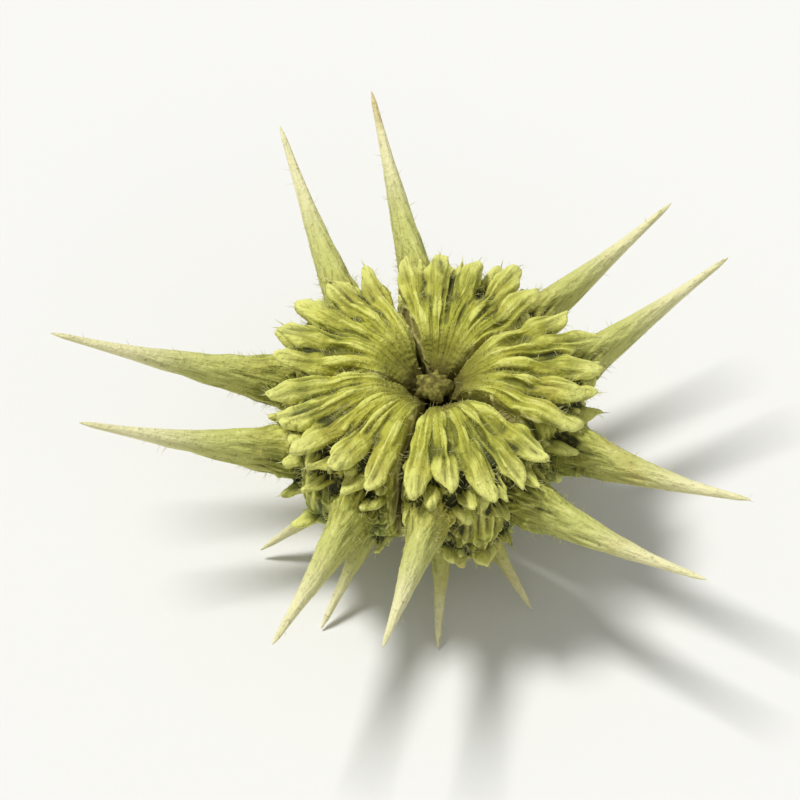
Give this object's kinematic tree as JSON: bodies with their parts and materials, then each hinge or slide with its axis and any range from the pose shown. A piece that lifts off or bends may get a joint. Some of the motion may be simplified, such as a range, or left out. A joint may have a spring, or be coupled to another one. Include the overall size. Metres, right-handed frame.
{
  "type": "puncturevine fruit",
  "caption": "Dry burr that splits into wedge-shaped nutlets, with long thorns at half height, short thorns below and blunt teeth round a hollow top.",
  "frame": {"origin": "middle of the stalk's broken end, on the surface that the fruit stands on", "axes": "+Z along the fruit's own axis, from the stalk up to the withered stigma; +X lies 1 degree clockwise of the middle of mericarp_1 seen from above, and the nutlets are numbered anticlockwise seen from above"},
  "size_m": [0.0187, 0.0188, 0.0067],
  "materials": {
    "dry_rind": "dry, dull, finely hairy plant rind, yellow-green with straw tips",
    "dry_stalk": "dry, dull, fibrous plant stalk",
    "withered_stigma": "dry, dull, wrinkled brown remnant"
  },
  "bodies": {
    "root": {"mericarp_1": "dry_rind", "mericarp_2": "dry_rind", "mericarp_3": "dry_rind", "mericarp_4": "dry_rind", "mericarp_5": "dry_rind", "receptacle_and_stalk": "dry_stalk", "stigma": "withered_stigma"}
  },
  "joints": []
}
